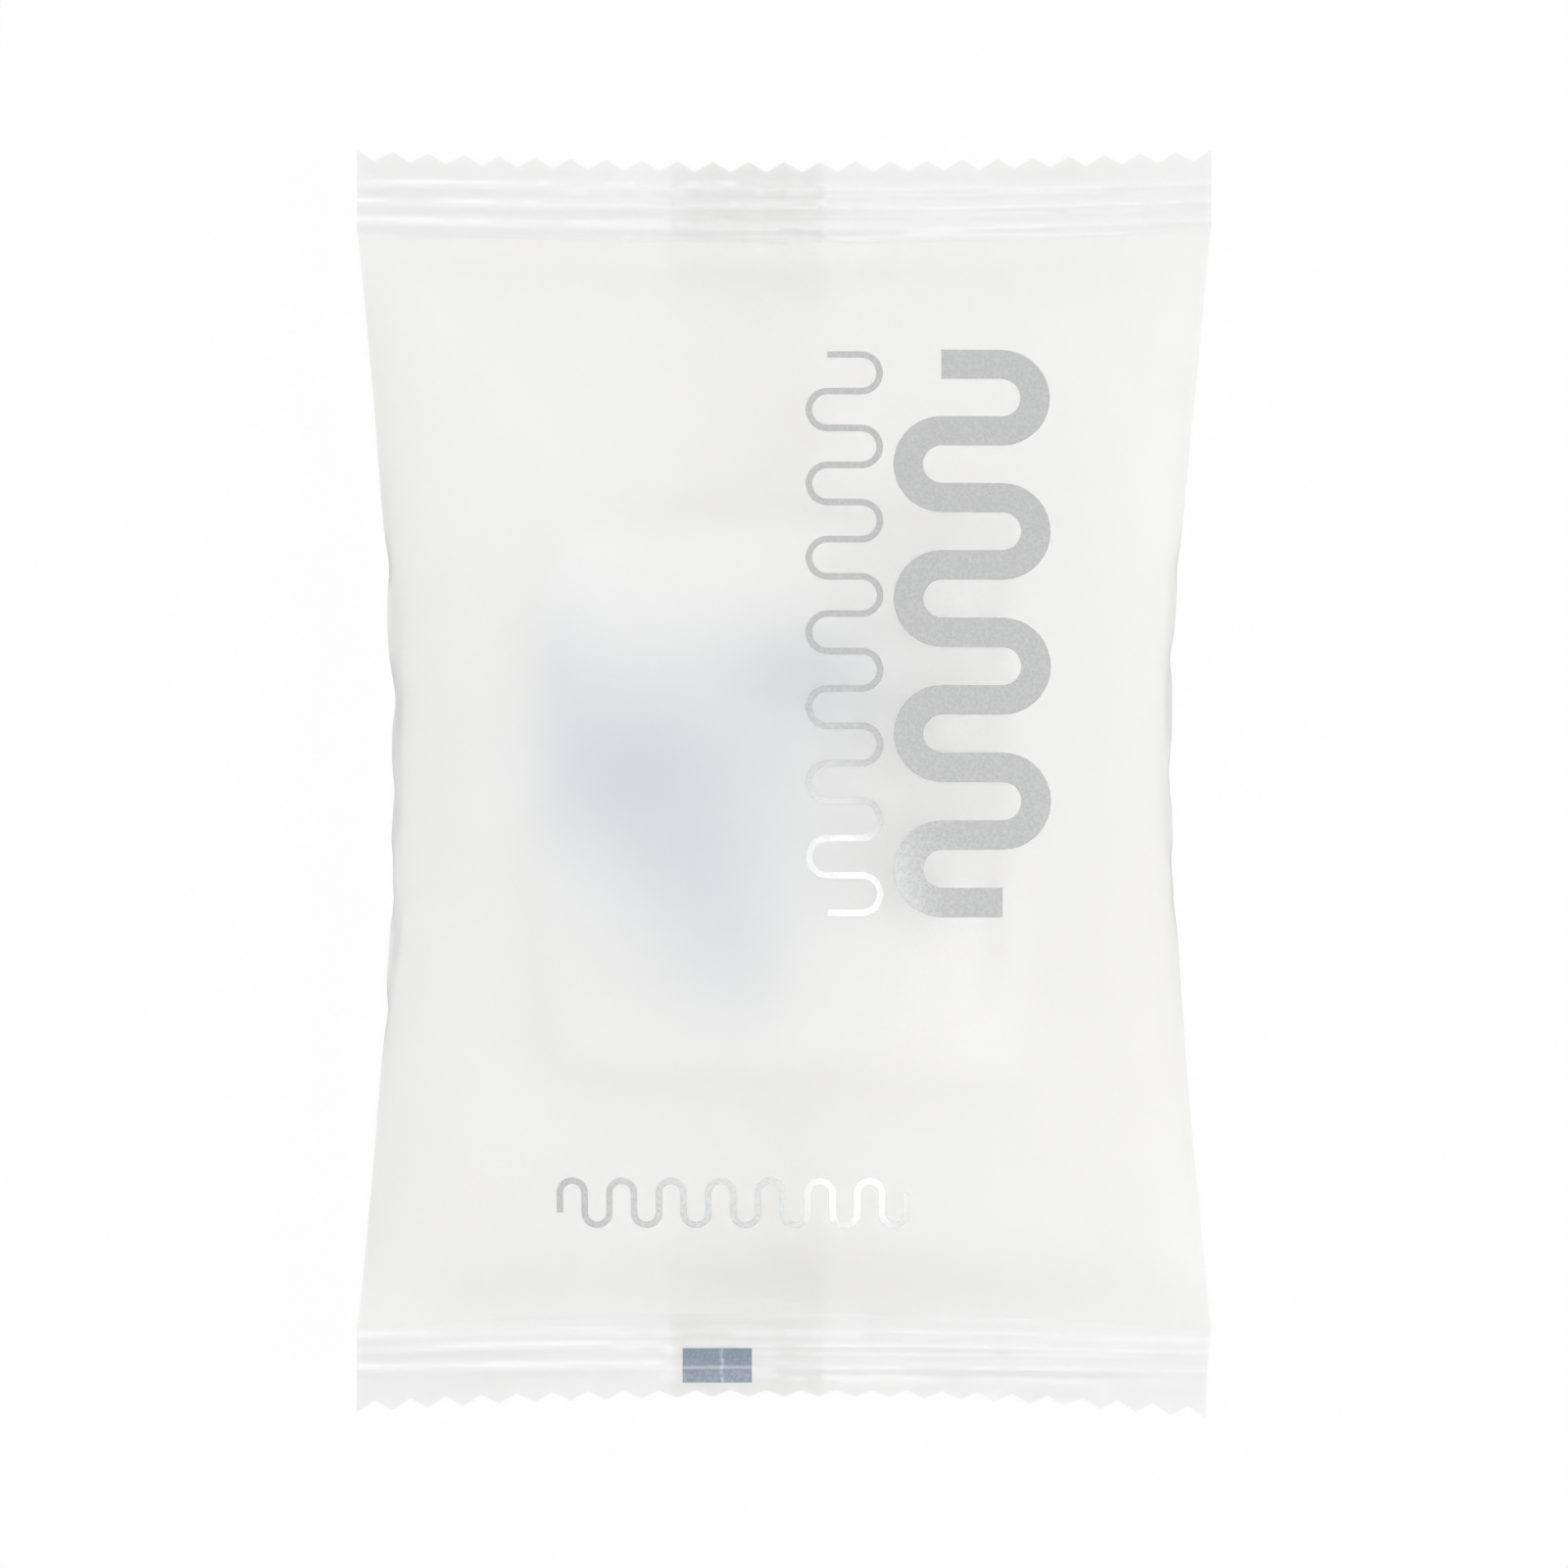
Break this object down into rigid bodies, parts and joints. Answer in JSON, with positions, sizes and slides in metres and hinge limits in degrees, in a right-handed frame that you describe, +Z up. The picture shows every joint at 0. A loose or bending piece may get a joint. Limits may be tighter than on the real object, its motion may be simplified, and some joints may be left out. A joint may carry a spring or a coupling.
{
  "type": "sealed shower cap sachet",
  "caption": "Pillow-shaped frosted film sachet with crimped zigzag end seals and a folded back fin, holding a folded elasticated shower cap.",
  "frame": {"origin": "on the table under the middle of the pack, which lies on its back", "axes": "+Z up out of the front face, +Y towards the head seal, +X to the right as the front is seen"},
  "size_m": [0.073, 0.1084, 0.0138],
  "materials": {
    "frosted_film": "frosted translucent film, slightly glossy on the crimps",
    "mark_ink": "printed ink",
    "cap_film": "thin pale blue-grey film",
    "elastic": "covered elastic"
  },
  "bodies": {
    "pouch": {"wrapper_sleeve": "frosted_film", "back_fin_seal": "frosted_film"},
    "head_end": {"head_seal": "frosted_film"},
    "tail_end": {"tail_seal": "frosted_film", "registration_mark": "mark_ink"},
    "folded_cap": {"cap_crown": "cap_film", "cap_hem": "cap_film", "elastic_band": "elastic"}
  },
  "joints": [
    {"name": "head_flex", "type": "hinge", "parent": "pouch", "child": "head_end", "pos_m": [0, 0.0472, 0.006], "axis": [1, 0, 0], "range_deg": [-50, 75], "stiffness_Nm_per_rad": 0.0001},
    {"name": "tail_flex", "type": "hinge", "parent": "pouch", "child": "tail_end", "pos_m": [0, -0.0466, 0.006], "axis": [-1, 0, 0], "range_deg": [-50, 75], "stiffness_Nm_per_rad": 0.0001},
    {"name": "cap_shift", "type": "slide", "parent": "pouch", "child": "folded_cap", "axis": [0, 1, 0], "range_m": [-0.004, 0.004]}
  ]
}
